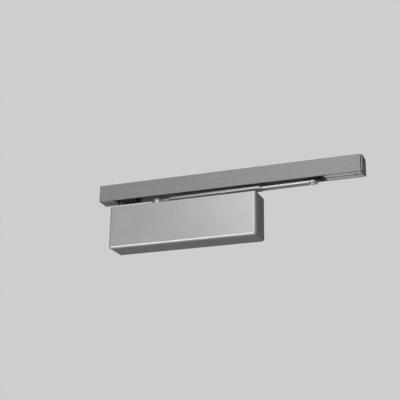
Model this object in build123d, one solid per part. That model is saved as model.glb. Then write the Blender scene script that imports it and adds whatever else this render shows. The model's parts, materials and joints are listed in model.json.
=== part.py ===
"""Surface door closer with a single lever arm and a slide track, in millimetres.

Frame: X runs along the door away from its hinges, Y runs into the door, Z is up.
The origin is the middle of the closer's mounting holes, on the door's face (Y = 0).
The closer stands in front of the door at negative Y, and the track lies above it.
"""

from build123d import *
import math
import os

# Clearances
running_gap = 0.05  # shafts in their bearings and the piston in its bore
seat_gap = 0.05  # pieces fixed in a bore or a recess
slide_gap = 0.3  # the slide in the track
block_gap = 0.4  # the fixed blocks in the track
free_gap = 0.3  # faces that pass each other

# Cover
cover_length = 313.0
cover_wall = 2.0
cover_edge_radius = 5.0
cover_top_edge_radius = 1.0
cover_top_space = 4.0  # from the gland nut to the inside of the cover
cover_front_space = 1.0  # from the cylinder to the inside of the cover
cover_notch_gap = 2.0  # round the pinion's neck

# Closer body
bore_radius = 19.0
body_wall = 4.0
body_back_space = 3.0  # from the door to the cylinder
body_end_space = 15.5  # from the inside of the cover to the cylinder's end
body_web_height = 32.0
base_thickness = 7.0
base_end_space = 11.5
base_side_space = 3.5
base_corner_radius = 8.0
mount_inset_x = 22.0  # from the base's end
mount_inset_z = 7.5  # from the base's edge
mount_hole_radius = 3.5
mount_pad_radius = 7.5
mount_pad_height = 2.0
plug_step = 2.0  # how much wider than the bore the end plugs are
plug_seat = 15.0
plug_proud = 1.0
plug_hex = 14.0
plug_hex_depth = 5.0
plug_seal_inset = 5.0  # from a plug's inner face
plug_seal_wire = 1.1

# Pinion and what carries it
gear_module = 1.75
gear_teeth = 12
pressure_angle = 25.0
backlash = 0.2
addendum = 1.0  # in modules
dedendum = 1.25  # in modules
arm_sweep = 150.0  # degrees of pinion turn from shut to fully open
tooth_end_space = 2.0  # from the teeth to the bore's top and bottom
journal_radius = 8.0
square_side = 10.5
square_top_gap = 0.3
bush_space = 0.5  # from the bore to a bush
bush_length = 9.0
bush_wall = 2.5
foot_cap_length = 5.0
foot_gap = 0.3
boss_wall = 5.0
shaft_seal_length = 3.5
gland_wall = 8.0
gland_length = 6.0
gland_proud = 2.0
gland_slot_width = 4.0
gland_slot_depth = 2.5

# Piston
piston_end_space = 8.25  # oil space behind the piston at rest
piston_head_length = 14.0
piston_tail_length = 14.0
piston_spigot_length = 5.0
slot_gap = 1.0  # round the pinion in the piston's slot
ring_width = 2.0
ring_depth = 1.5
ring_inset = 3.5
ball_radius = 3.0
ball_gap = 0.2
ball_port_radius = 2.2
ball_pocket_length = 9.0
retainer_length = 2.0
retainer_bore_radius = 1.6

# Closing spring and power screw
spring_wire = 6.5
spring_outer_radius = 18.0
spring_coils = 13.5
spring_end_gap = 0.1
seat_thickness = 6.0
seat_nut_radius = 9.0
seat_nut_length = 8.0
power_travel = 20.0
power_screw_radius = 5.0
power_flange_radius = 9.0
power_flange_length = 3.0
power_flange_gap = 1.0
power_screw_spare = 3.0  # thread past the nut at full travel
power_hex = 6.0
power_hex_depth = 6.0

# Valves
valve_radius = 4.0
valve_boss_wall = 3.0
valve_drop = 5.0  # from the cylinder's side to a valve's axis
valve_boss_reach = 10.0  # in front of the bore's axis
valve_recess = 1.0
valve_length = 15.0
valve_needle_radius = 2.0
valve_needle_length = 6.0
valve_hex = 4.0
valve_hex_depth = 4.0
valve_seal_wire = 0.7
valve_seal_inset = 9.0
valve_bore_spare = 1.0
closing_valve_offset = -34.5  # from the pinion
backcheck_valve_offset = 35.5

# Cover clips
clip_thickness = 1.0
clip_width = 11.0
clip_reach = 20.0
clip_bend_radius = 2.0
clip_pad_gap = 1.0  # from a clip to the mounting pad beside it
clip_screw_radius = 2.0
clip_screw_inset = 6.0  # from the base's end
clip_screw_depth = 5.0
clip_head_radius = 3.6
clip_head_height = 1.6
clip_hex = 2.5
clip_hex_depth = 0.9

# Arm
arm_length = 326.5  # from the pinion to the slide's pivot
arm_hub_gap = 3.75  # from the cover to the hub
arm_hub_drop = 4.0
arm_hub_radius = 12.0
arm_hub_chamfer = 1.0
arm_thickness = 5.5
arm_blade_thickness = 4.0
arm_width = 22.0
arm_blade_width = 17.0
arm_neck_width = 13.5
arm_neck_length = 27.0  # from the pinion to the full width
arm_heavy_length = 225.0  # from the pinion to the blade
arm_shoulder_radius = 6.0
arm_eye_radius = 10.0
arm_lower_edge_radius = 1.4
arm_upper_edge_radius = 0.7
arm_track_gap = 2.25
arm_recess_depth = 2.6
arm_recess_gap = 0.5
arm_screw_radius = 3.0
arm_screw_length = 14.0
arm_head_radius = 7.5
arm_head_height = 1.6
arm_washer_thickness = 0.7
arm_hex = 5.0
arm_hex_depth = 3.0
pin_radius = 4.0
pin_head_radius = 6.0
pin_head_height = 1.6
pin_head_edge_radius = 0.7
pin_washer_thickness = 0.9
pin_washer_radius = 7.0
pin_washer_gap = 0.1
pin_clip_thickness = 1.0
pin_clip_wall = 2.4
pin_clip_opening = 3.0
pin_end = 1.2  # above the clip

# Track
track_height = 34.5
track_depth = 34.5
track_wall = 2.5
track_web = 3.0
track_edge_radius = 0.6
track_front_from_door = 50.0
track_overhang = 26.1  # past the cover's hinge end
ledge_rise = 9.5  # from the track's lower edge to the ledges
ledge_thickness = 2.5
ledge_slot = 15.0  # between the two ledges
track_cap_thickness = 3.5
track_cap_step = 1.7  # how far the plate's face stands off the track
track_cap_step_inset = 1.6  # from the plate's edge to the step
track_cap_corner_radius = 1.2
cap_screw_radius = 2.0
cap_screw_length = 14.0
cap_head_radius = 3.6
cap_head_height = 2.0
cap_screw_spread = 17.0
cap_hex = 2.5
cap_hex_depth = 1.4

# Blocks and slide in the track
hinge_block_length = 27.0
latch_block_length = 70.8
block_lip_gap = 0.8  # how much more room the blocks have below the ledges
block_groove_width = 7.5
block_groove_depth = 5.0
block_notch_length = 5.0  # where the groove deepens, at the end plate
block_notch_depth = 8.5
track_screw_inset = 12.0  # from an end plate
track_hole_radius = 3.3
track_head_radius = 5.4
track_seat_thickness = 6.0  # block material above a screw's head
stop_space = 12.6  # from the hinge end block to the travel stop
stop_length = 29.4
stop_screw_radius = 3.0
stop_screw_recess = 6.0
stop_hex = 3.0
stop_hex_depth = 3.5
bumper_length = 4.5
bumper_inset = 0.6
bumper_edge_radius = 2.0
slide_length = 36.0
slide_neck_length = 30.0
slide_rest_space = 2.5  # from the slide to the buffer at rest
slide_chamfer = 2.5
slide_bush_wall = 1.5
slide_recess_gap = 1.2
slide_recess_depth = 5.5

# Places worked out from the sizes
body_radius = bore_radius + body_wall
axis_y = -(body_back_space + body_radius)
cover_depth = -axis_y + body_radius + cover_front_space + cover_wall
bush_start = bore_radius + bush_space
seal_start = bush_start + bush_length
gland_start = seal_start + shaft_seal_length
gland_top = gland_start + gland_length
boss_top = gland_top - gland_proud
boss_bottom = -(bush_start + bush_length + foot_gap + foot_cap_length)
cover_top = gland_top + cover_top_space + cover_wall
cover_height = 2 * cover_top
cover_left = -cover_length / 2
cover_right = cover_length / 2
base_length = cover_length - 2 * (cover_wall + base_end_space)
base_height = cover_height - 2 * (cover_wall + base_side_space)
body_right = cover_right - cover_wall - body_end_space
body_left = -body_right
mount_spacing_x = base_length - 2 * mount_inset_x
mount_spacing_z = base_height - 2 * mount_inset_z
plug_radius = bore_radius + plug_step
pitch_radius = gear_module * gear_teeth / 2
tip_radius = pitch_radius + addendum * gear_module
root_radius = pitch_radius - dedendum * gear_module
tooth_half_length = bore_radius - tooth_end_space
upper_bore_radius = tip_radius + 3 * seat_gap
lower_bore_radius = journal_radius + bush_wall
gland_radius = journal_radius + gland_wall
boss_radius = gland_radius + boss_wall
piston_travel = pitch_radius * math.radians(arm_sweep)
piston_left = body_left + plug_seat + piston_end_space
slot_left = piston_left + piston_head_length
pinion_x = slot_left + piston_travel + slot_gap + tip_radius
slot_right = pinion_x + tip_radius + slot_gap
piston_right = slot_right + piston_tail_length
piston_radius = bore_radius - running_gap
flange_right = body_right - plug_seat - running_gap
flange_left = flange_right - power_flange_length
seat_right = flange_left - power_flange_gap
seat_left = seat_right - seat_thickness
spring_radius = spring_outer_radius - spring_wire / 2
valve_boss_radius = valve_radius + valve_boss_wall
valve_height = body_radius + valve_drop
valve_boss_front = axis_y - valve_boss_reach
valve_front = valve_boss_front + valve_recess
hub_bottom = cover_top + arm_hub_gap
arm_bottom = hub_bottom + arm_hub_drop
arm_top = arm_bottom + arm_thickness
blade_top = arm_bottom + arm_blade_thickness
recess_floor = arm_top - arm_recess_depth
square_top = recess_floor - square_top_gap
track_bottom = arm_top + arm_track_gap
track_top = track_bottom + track_height
track_front = -track_front_from_door
track_back = track_front + track_depth
track_middle = (track_front + track_back) / 2
channel_half = track_depth / 2 - track_wall
ledge_bottom = track_bottom + ledge_rise
ledge_top = ledge_bottom + ledge_thickness
web_bottom = track_top - track_web
arm_offset = track_middle - axis_y
pivot_x = pinion_x + math.sqrt(arm_length**2 - arm_offset**2)
arm_angle = math.degrees(math.atan2(arm_offset, pivot_x - pinion_x))
channel_left = cover_left - track_overhang + track_cap_thickness
latch_block_left = pivot_x + slide_length / 2 + slide_rest_space + bumper_length
channel_right = latch_block_left + latch_block_length
hinge_block_right = channel_left + hinge_block_length
stop_left = hinge_block_right + stop_space
stop_right = stop_left + stop_length
slide_bottom = blade_top + pin_washer_thickness + pin_washer_gap
slide_lower = ledge_top + slide_gap
slide_top = web_bottom - slide_gap
slide_recess_floor = slide_top - slide_recess_depth
pin_clip_radius = pin_radius + pin_clip_wall
pin_clip_bottom = slide_recess_floor + pin_washer_gap
pin_top = pin_clip_bottom + pin_clip_thickness + pin_end


def box(x0, x1, y0, y1, z0, z1):
    """A block between two corners."""
    return Pos((x0 + x1) / 2, (y0 + y1) / 2, (z0 + z1) / 2) * Box(x1 - x0, y1 - y0, z1 - z0)


def rod_x(radius, x0, x1, y=axis_y, z=0.0):
    """A round bar along X."""
    return Pos((x0 + x1) / 2, y, z) * Rot(0, 90, 0) * Cylinder(radius, x1 - x0)


def rod_y(radius, y0, y1, x, z):
    """A round bar along Y."""
    return Pos(x, (y0 + y1) / 2, z) * Rot(90, 0, 0) * Cylinder(radius, y1 - y0)


def rod_z(radius, z0, z1, x=pinion_x, y=axis_y):
    """A round bar along Z."""
    return Pos(x, y, (z0 + z1) / 2) * Cylinder(radius, z1 - z0)


def hex_bar(across, length, start, direction):
    """A hexagonal bar from a point, given its width across flats."""
    outline = RegularPolygon(across / 2, 6, major_radius=False)
    return extrude(Plane(origin=start, z_dir=direction) * outline, length)


def group(pieces):
    """Separate solids that share one node."""
    return Compound(children=[solid for piece in pieces for solid in piece.solids()])


def edges_where(shape, rule):
    """The shape's edges whose middle point keeps to a rule."""
    return [edge for edge in shape.edges() if rule(edge.center())]


def near(value, target):
    """Whether two places are the same."""
    return abs(value - target) < 0.001


def rounded_case(x0, x1, y0, y1, z0, z1, radius):
    """A block with a rounded front, ends and underside, and a plain top and back."""

    def rounded(c):
        front = near(c.Y, y0) and c.Z < z1 - radius
        lower_end = near(c.Z, z0) and (near(c.X, x0) or near(c.X, x1))
        return front or lower_end

    block = box(x0, x1, y0, y1, z0, z1)
    return fillet(edges_where(block, rounded), radius)


def make_cover():
    """Shell, open at the back, with a notch in its top for the pinion's neck."""
    rim = -free_gap
    wall = cover_wall
    outer = rounded_case(
        cover_left, cover_right, -cover_depth, rim, -cover_top, cover_top, cover_edge_radius
    )
    top_edges = edges_where(outer, lambda c: near(c.Z, cover_top) and c.Y < rim - wall)
    outer = fillet(top_edges, cover_top_edge_radius)
    inner = rounded_case(
        cover_left + wall,
        cover_right - wall,
        -cover_depth + wall,
        rim + wall,
        -cover_top + wall,
        cover_top - wall,
        max(cover_edge_radius - wall, wall / 2),
    )
    half = journal_radius + cover_notch_gap
    low, high = cover_top - 2 * wall, cover_top + wall
    notch = box(pinion_x - half, pinion_x + half, axis_y, rim + wall, low, high)
    notch += rod_z(half, low, high)
    return outer - inner - notch


def mount_points():
    """Centres of the closer's mounting holes, as (x, z)."""
    half_x, half_z = mount_spacing_x / 2, mount_spacing_z / 2
    return [(sx * half_x, sz * half_z) for sx in (-1, 1) for sz in (-1, 1)]


def valve_points():
    """Centres of the three valves, as name to (x, z)."""
    return {
        "latch_valve": (pinion_x + closing_valve_offset, -valve_height),
        "sweep_valve": (pinion_x + closing_valve_offset, valve_height),
        "backcheck_valve": (pinion_x + backcheck_valve_offset, -valve_height),
    }


def clip_points():
    """Centres of the clips' screws, as (side, x, z)."""
    x = base_length / 2 - clip_screw_inset
    return [(side, side * x, level * mount_spacing_z / 2) for side in (-1, 1) for level in (-1, 1)]


def make_body_casting():
    """Cast cylinder on a flat base, bored for the piston, pinion, valves and screws."""
    half_x, half_z = base_length / 2, base_height / 2
    base = box(-half_x, half_x, -base_thickness, 0, -half_z, half_z)
    casting = fillet(base.edges().filter_by(Axis.Y), base_corner_radius)
    casting += box(body_left, body_right, axis_y, 0, -body_web_height / 2, body_web_height / 2)
    casting += rod_x(body_radius, body_left, body_right)
    casting += rod_z(boss_radius, boss_bottom, boss_top)
    casting += box(pinion_x - boss_radius, pinion_x + boss_radius, axis_y, 0, boss_bottom, boss_top)
    pad_front = -base_thickness - mount_pad_height
    for x, z in mount_points():
        casting += rod_y(mount_pad_radius, pad_front, 0, x, z)
    for x, z in valve_points().values():
        casting += rod_y(valve_boss_radius, valve_boss_front, 0, x, z)
    casting -= rod_x(bore_radius, body_left, body_right)
    casting -= rod_x(plug_radius, min(body_left, -half_x), body_left + plug_seat)
    casting -= rod_x(plug_radius, body_right - plug_seat, max(body_right, half_x))
    casting -= rod_z(lower_bore_radius, boss_bottom, 0)
    casting -= rod_z(upper_bore_radius, -tooth_half_length - free_gap, gland_start)
    casting -= rod_z(gland_radius, gland_start, boss_top)
    for x, z in mount_points():
        casting -= rod_y(mount_hole_radius, pad_front, 0, x, z)
    valve_back = valve_front + valve_length + valve_needle_length + valve_bore_spare
    for x, z in valve_points().values():
        casting -= rod_y(valve_radius + running_gap, valve_boss_front, valve_back, x, z)
    for _, x, z in clip_points():
        screw_back = -base_thickness + clip_screw_depth
        casting -= rod_y(clip_screw_radius + seat_gap, -base_thickness, screw_back, x, z)
    return casting


def seal_groove(x, radius, wire):
    """The groove for a seal ring round the bore's axis, and the ring in it."""
    middle = radius - wire
    half = wire + seat_gap
    cutter = rod_x(radius + wire, x - half, x + half) - rod_x(middle - half, x - half, x + half)
    ring = Pos(x, axis_y, 0) * Rot(0, 90, 0) * Torus(middle, wire)
    return cutter, ring


def make_plugs():
    """The two end plugs of the cylinder and their seal rings."""
    radius = plug_radius - seat_gap
    length = plug_seat + plug_proud
    inner_left, inner_right = body_left + plug_seat, body_right - plug_seat
    left = rod_x(radius, inner_left - length, inner_left)
    left -= hex_bar(plug_hex, plug_hex_depth, (inner_left - length, axis_y, 0), (1, 0, 0))
    right = rod_x(radius, inner_right, inner_right + length)
    right -= rod_x(power_screw_radius + running_gap, inner_right, inner_right + length)
    left_cut, left_ring = seal_groove(inner_left - plug_seal_inset, radius, plug_seal_wire)
    right_cut, right_ring = seal_groove(inner_right + plug_seal_inset, radius, plug_seal_wire)
    return left - left_cut, right - right_cut, group([left_ring, right_ring])


def ring_z(outer, inner, z0, z1, x=pinion_x, y=axis_y):
    """A plain ring standing on the pinion's axis or another one along Z."""
    return rod_z(outer, z0, z1, x, y) - rod_z(inner, z0, z1, x, y)


def make_gland_nut():
    """Threaded ring over the shaft seal, with slots for a pin wrench."""
    outer = gland_radius - seat_gap
    nut = ring_z(outer, journal_radius + free_gap, gland_start, gland_top)
    half = gland_slot_width / 2
    floor = gland_top - gland_slot_depth
    for x, y in ((outer, half), (half, outer)):
        cross = box(pinion_x - x, pinion_x + x, axis_y - y, axis_y + y, floor, gland_top)
        nut -= cross
    return nut


def involute(radius):
    """The involute angle at a radius outside the base circle, in radians."""
    turn = math.acos(pitch_radius * math.cos(math.radians(pressure_angle)) / radius)
    return math.tan(turn) - turn


def pinion_outline():
    """The teeth's outline, with a tooth space facing the rack at +Y."""
    base = pitch_radius * math.cos(math.radians(pressure_angle))
    half_pitch = (math.pi * gear_module - backlash) / (4 * pitch_radius)
    steps = 5
    radii = [base + (tip_radius - base) * i / steps for i in range(steps + 1)]
    start = half_pitch + involute(pitch_radius)
    flank = [(root_radius, start)] + [(r, start - involute(r)) for r in radii]
    points = []
    for tooth in range(gear_teeth):
        middle = math.pi / 2 - 2 * math.pi * (tooth + 0.5) / gear_teeth
        for radius, half in flank:
            points.append((radius, middle + half))
        for radius, half in reversed(flank):
            points.append((radius, middle - half))
    return [(r * math.cos(a), r * math.sin(a)) for r, a in points]


def make_pinion():
    """Toothed shaft with two journals and a square end for the arm."""
    teeth = make_face(Polyline(*pinion_outline(), close=True))
    bar = Pos(pinion_x, axis_y, -tooth_half_length) * extrude(teeth, 2 * tooth_half_length)
    bar += rod_z(journal_radius, -seal_start, hub_bottom)
    square = Box(square_side, square_side, square_top - hub_bottom)
    bar += Pos(pinion_x, axis_y, (square_top + hub_bottom) / 2) * Rot(0, 0, arm_angle) * square
    screw_end = recess_floor + arm_washer_thickness - arm_screw_length
    return bar - rod_z(arm_screw_radius + seat_gap, screw_end - free_gap, square_top)


def piston_slot():
    """The slot round the pinion, with the rack's teeth along its door side."""
    pitch = math.pi * gear_module
    slope = math.tan(math.radians(pressure_angle))
    half = (pitch - backlash) / 4 - backlash / 4
    tip = pitch_radius - addendum * gear_module
    root = pitch_radius + dedendum * gear_module
    left, right = slot_left - pinion_x, slot_right - pinion_x
    low = -tip_radius - slot_gap
    tip_half = half - (pitch_radius - tip) * slope
    root_half = half + (root - pitch_radius) * slope
    first = math.ceil((left + root_half) / pitch)
    last = math.floor((right - root_half) / pitch)
    points = [(right, low), (left, low), (left, root)]
    for tooth in range(first, last + 1):
        x = tooth * pitch
        points += [(x - root_half, root), (x - tip_half, tip), (x + tip_half, tip), (x + root_half, root)]
    points.append((right, root))
    face = make_face(Polyline(*points, close=True))
    return Pos(pinion_x, axis_y, -bore_radius) * extrude(face, 2 * bore_radius)


def make_piston():
    """Rack piston, with its rings, its check ball and the ball's retainer."""
    piston = rod_x(piston_radius, piston_left, piston_right) - piston_slot()
    spigot = spring_radius - spring_wire / 2 - free_gap
    piston += rod_x(spigot, piston_right, piston_right + piston_spigot_length)
    pocket = ball_radius + ball_gap
    piston -= rod_x(pocket, piston_left, piston_left + ball_pocket_length)
    piston -= rod_x(ball_port_radius, piston_left, slot_left)
    rings = []
    groove = piston_radius - ring_depth
    ring_places = (piston_left + ring_inset, piston_right - ring_inset - ring_width)
    for x in ring_places:
        ends = (x, x + ring_width)
        piston -= rod_x(bore_radius, *ends) - rod_x(groove, *ends)
        inside = (x + seat_gap, x + ring_width - seat_gap)
        rings.append(rod_x(piston_radius, *inside) - rod_x(groove + seat_gap, *inside))
    retainer_end = piston_left + retainer_length
    retainer = rod_x(pocket - seat_gap, piston_left, retainer_end)
    retainer -= rod_x(retainer_bore_radius, piston_left, retainer_end)
    ball = Pos(retainer_end + ball_gap + ball_radius, axis_y, 0) * Sphere(ball_radius)
    return piston, group(rings), ball, retainer


def spring_point(turn, start, pitch):
    """A point on the spring's centre line and the direction it runs in."""
    angle = 2 * math.pi * turn
    y, z = spring_radius * math.cos(angle), spring_radius * math.sin(angle)
    run = 2 * math.pi * spring_radius
    along = Vector(pitch, -run * math.sin(angle), run * math.cos(angle)).normalized()
    return Vector(start + pitch * turn, axis_y + y, z), along


def biarc(p0, t0, p1, t1):
    """Two arcs that leave one point and reach another in the given directions."""
    v = p1 - p0
    t = t0 + t1
    b = v.dot(t)
    c = 2 * (1 - t0.dot(t1))
    d = (math.sqrt(b * b + c * v.dot(v)) - b) / c
    joint = (p0 + p1 + (t0 - t1) * d) * 0.5
    chord = (p1 - joint).normalized()
    middle = chord * (2 * chord.dot(t1)) - t1
    return [Edge.make_tangent_arc(p0, t0, joint), Edge.make_tangent_arc(joint, middle, p1)]


def make_closing_spring():
    """Round wire spring between the piston and the spring's plate."""
    start = piston_right + spring_end_gap + spring_wire / 2
    end = seat_left - spring_end_gap - spring_wire / 2
    pitch = (end - start) / spring_coils
    quarters = round(spring_coils * 4)
    knots = [spring_point(i / 4, start, pitch) for i in range(quarters + 1)]
    edges = []
    for (p0, t0), (p1, t1) in zip(knots, knots[1:]):
        edges += biarc(p0, t0, p1, t1)
    path = Wire(edges)
    print("closing spring: pitch", round(pitch, 2), "gap between turns", round(pitch - spring_wire, 2))
    return sweep(Plane(origin=knots[0][0], z_dir=knots[0][1]) * Circle(spring_wire / 2), path=path)


def make_spring_seat():
    """Plate and nut that the power screw draws along the cylinder."""
    seat = rod_x(bore_radius - free_gap, seat_left, seat_right)
    seat += rod_x(seat_nut_radius, seat_left - seat_nut_length, seat_left)
    return seat - rod_x(power_screw_radius + running_gap, seat_left - seat_nut_length, seat_right)


def make_power_screw():
    """Captive screw through the spring end plug, with a hexagon socket outside."""
    left = seat_left - seat_nut_length - power_travel - power_screw_spare
    right = body_right + plug_proud
    screw = rod_x(power_screw_radius, left, right)
    screw += rod_x(power_flange_radius, flange_left, flange_right)
    return screw - hex_bar(power_hex, power_hex_depth, (right, axis_y, 0), (-1, 0, 0))


def make_valve(x, z):
    """A needle valve that turns in its boss, and the seal ring round it."""
    back = valve_front + valve_length
    valve = rod_y(valve_radius, valve_front, back, x, z)
    valve += rod_y(valve_needle_radius, back, back + valve_needle_length, x, z)
    valve -= hex_bar(valve_hex, valve_hex_depth, (x, valve_front, z), (0, 1, 0))
    y = valve_front + valve_seal_inset
    half = valve_seal_wire + seat_gap
    middle = valve_radius - valve_seal_wire
    groove = rod_y(valve_radius + half, y - half, y + half, x, z)
    groove -= rod_y(middle - half, y - half, y + half, x, z)
    ring = Pos(x, y, z) * Rot(90, 0, 0) * Torus(middle, valve_seal_wire)
    return valve - groove, ring


def make_clips():
    """Leaf clips on the base's ends that grip the cover, and their screws."""
    outer = cover_right - cover_wall - free_gap
    inner = base_length / 2 - mount_inset_x + mount_pad_radius + clip_pad_gap
    front = -base_thickness - clip_thickness
    clips, screws = [], []
    for side, x, z in clip_points():
        low, high = z - clip_width / 2, z + clip_width / 2
        tab = box(inner, outer, front, -base_thickness, low, high)
        leaf = box(outer - clip_thickness, outer, front - clip_reach, -base_thickness, low, high)
        clip = tab + leaf
        bend = edges_where(clip, lambda c: near(c.X, outer) and near(c.Y, -base_thickness))
        clip = fillet(bend, clip_bend_radius)
        clip -= rod_y(clip_screw_radius + seat_gap, front, -base_thickness, abs(x), z)
        if side < 0:
            clip = mirror(clip, Plane.YZ)
        clips.append(clip)
        screw = rod_y(clip_screw_radius, front, -base_thickness + clip_screw_depth, x, z)
        screw += rod_y(clip_head_radius, front - clip_head_height, front, x, z)
        screw -= hex_bar(clip_hex, clip_hex_depth, (x, front - clip_head_height, z), (0, 1, 0))
        screws.append(screw)
    return group(clips), group(screws)


def arm_place():
    """Where the arm lies: from the pinion to the slide's pivot."""
    return Pos(pinion_x, axis_y, 0) * Rot(0, 0, arm_angle)


def bar_with_edges(outline, z0, z1):
    """A flat bar of an outline with its lower and upper edges rounded."""
    bar = Pos(0, 0, z0) * extrude(outline, z1 - z0)
    bar = fillet(edges_where(bar, lambda c: near(c.Z, z0)), arm_lower_edge_radius)
    return fillet(edges_where(bar, lambda c: near(c.Z, z1)), arm_upper_edge_radius)


def make_arm():
    """Forged lever: hub, neck, heavy part and a slimmer blade with an eye."""
    heavy_middle = (arm_neck_length + arm_heavy_length) / 2
    heavy_run = arm_heavy_length - arm_neck_length
    heavy = Pos(heavy_middle, 0) * RectangleRounded(heavy_run, arm_width, arm_shoulder_radius)
    neck_run = arm_neck_length + arm_shoulder_radius
    heavy += Pos(neck_run / 2, 0) * Rectangle(neck_run, arm_neck_width)
    heavy += Circle(arm_hub_radius)
    blade_start = arm_heavy_length - arm_shoulder_radius
    blade_run = arm_length - blade_start
    blade = Pos(blade_start + blade_run / 2, 0) * Rectangle(blade_run, arm_blade_width)
    blade += Pos(arm_length, 0) * Circle(arm_eye_radius)
    arm = bar_with_edges(heavy, arm_bottom, arm_top) + bar_with_edges(blade, arm_bottom, blade_top)
    hub = Pos(0, 0, (hub_bottom + arm_top) / 2) * Cylinder(arm_hub_radius, arm_top - hub_bottom)
    for level in (hub_bottom, arm_top):
        hub = chamfer(edges_where(hub, lambda c: near(c.Z, level)), arm_hub_chamfer)
    arm += hub
    side = square_side + 2 * seat_gap
    height = arm_top - hub_bottom
    arm -= Pos(0, 0, hub_bottom + height / 2) * Box(side, side, height)
    recess = arm_head_radius + arm_recess_gap
    arm -= rod_z(recess, recess_floor, arm_top, 0, 0)
    arm -= rod_z(pin_radius + seat_gap, arm_bottom, blade_top, arm_length, 0)
    return arm_place() * arm


def make_arm_screw():
    """Screw and washer that hold the arm on the pinion."""
    washer_top = recess_floor + arm_washer_thickness
    washer_radius = arm_head_radius + arm_recess_gap / 2
    washer = ring_z(washer_radius, arm_screw_radius + seat_gap, recess_floor, washer_top)
    head_top = washer_top + arm_head_height
    screw = rod_z(arm_screw_radius, washer_top - arm_screw_length, washer_top)
    screw += rod_z(arm_head_radius, washer_top, head_top)
    return screw - hex_bar(arm_hex, arm_hex_depth, (pinion_x, axis_y, head_top), (0, 0, -1)), washer


def make_pivot():
    """The slide's pin, its washer under the slide and its clip above."""
    x, y = pivot_x, track_middle
    head = rod_z(pin_head_radius, arm_bottom - pin_head_height, arm_bottom, x, y)
    lower = edges_where(head, lambda c: near(c.Z, arm_bottom - pin_head_height))
    pin = fillet(lower, pin_head_edge_radius) + rod_z(pin_radius, arm_bottom, pin_top, x, y)
    washer_top = blade_top + pin_washer_thickness
    washer = ring_z(pin_washer_radius, pin_radius + seat_gap, blade_top, washer_top, x, y)
    clip_top = pin_clip_bottom + pin_clip_thickness
    clip = ring_z(pin_clip_radius, pin_radius + seat_gap, pin_clip_bottom, clip_top, x, y)
    half = pin_clip_opening / 2
    clip -= box(x, x + pin_clip_radius, y - half, y + half, pin_clip_bottom, clip_top)
    return pin, washer, clip


def make_slide():
    """Slide that runs on the track's ledges, and the bush for its pin."""
    x, y = pivot_x, track_middle
    half = channel_half - slide_gap
    neck = ledge_slot / 2 - slide_gap
    left, right = x - slide_length / 2, x + slide_length / 2
    upper = box(left, right, y - half, y + half, slide_lower, slide_top)
    slide = chamfer(upper.edges().filter_by(Axis.Z), slide_chamfer)
    shape = Pos(x, y, slide_bottom) * SlotOverall(slide_neck_length, 2 * neck)
    slide += extrude(shape, slide_lower - slide_bottom)
    slide -= rod_z(pin_clip_radius + slide_recess_gap, slide_recess_floor, slide_top, x, y)
    bush_radius = pin_radius + running_gap + slide_bush_wall
    slide -= rod_z(bush_radius + seat_gap, slide_bottom, slide_recess_floor, x, y)
    bush = ring_z(bush_radius, pin_radius + running_gap, slide_bottom, slide_recess_floor, x, y)
    return slide, bush


def track_profile_block(x0, x1, inset):
    """A length of the filler section that fits over and under the track's ledges."""
    y = track_middle
    half = channel_half - inset
    neck = ledge_slot / 2 - inset
    block = box(x0, x1, y - half, y + half, ledge_top + inset, web_bottom - inset)
    block += box(x0, x1, y - neck, y + neck, ledge_bottom - inset, ledge_top + inset)
    lip = half - block_lip_gap
    return block + box(x0, x1, y - lip, y + lip, track_bottom, ledge_bottom - inset)


def track_screw_points():
    """Where the track's mounting screws go up, along X."""
    return channel_left + track_screw_inset, channel_right - track_screw_inset


def cap_screw_points():
    """Where each end plate's screws lie, as (y, z)."""
    z = (ledge_top + web_bottom) / 2
    return [(track_middle + side * cap_screw_spread / 2, z) for side in (-1, 1)]


def make_end_block(x0, x1, screw_x, plate_x):
    """A filler block with a grooved underside, a notch, a screw passage and its plate's tapped holes."""
    y = track_middle
    block = track_profile_block(x0, x1, block_gap)
    half = block_groove_width / 2
    block -= box(x0, x1, y - half, y + half, track_bottom, track_bottom + block_groove_depth)
    inward = 1 if near(plate_x, x0) else -1
    notch = sorted((plate_x, plate_x + inward * block_notch_length))
    block -= box(*notch, y - half, y + half, track_bottom, track_bottom + block_notch_depth)
    top = web_bottom - block_gap
    block -= rod_z(track_head_radius, track_bottom, top - track_seat_thickness, screw_x, y)
    block -= rod_z(track_hole_radius, top - track_seat_thickness, top, screw_x, y)
    for screw_y, screw_z in cap_screw_points():
        ends = sorted((plate_x, plate_x + inward * cap_screw_length))
        block -= rod_x(cap_screw_radius + seat_gap, *ends, screw_y, screw_z)
    return block


def make_track_channel():
    """Extruded track: an open channel with two inner ledges, drilled for its screws."""
    y = track_middle
    outer = box(channel_left, channel_right, track_front, track_back, track_bottom, track_top)
    outer = fillet(outer.edges().filter_by(Axis.X), track_edge_radius)
    slot = ledge_slot / 2
    for half, low, high in (
        (channel_half, track_bottom, ledge_bottom),
        (slot, ledge_bottom, ledge_top),
        (channel_half, ledge_top, web_bottom),
    ):
        outer -= box(channel_left, channel_right, y - half, y + half, low, high)
    for x in track_screw_points():
        outer -= rod_z(track_hole_radius, web_bottom, track_top, x, y)
    return outer


def make_track_cap(inner_x, outward):
    """An end plate with two recessed screw holes, stepped to leave a fine groove at the track."""
    outer_x = inner_x + outward * track_cap_thickness
    step_x = inner_x + outward * track_cap_step
    plate = box(*sorted((step_x, outer_x)), track_front, track_back, track_bottom, track_top)
    plate = fillet(plate.edges().filter_by(Axis.X), track_cap_corner_radius)
    inset = track_cap_step_inset
    sides = (track_front + inset, track_back - inset, track_bottom + inset, track_top - inset)
    plate += box(*sorted((inner_x, step_x)), *sides)
    head_x = outer_x - outward * (cap_head_height + seat_gap)
    for y, z in cap_screw_points():
        plate -= rod_x(cap_screw_radius + seat_gap, *sorted((inner_x, outer_x)), y, z)
        plate -= rod_x(cap_head_radius + seat_gap, *sorted((head_x, outer_x)), y, z)
    return plate


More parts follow.
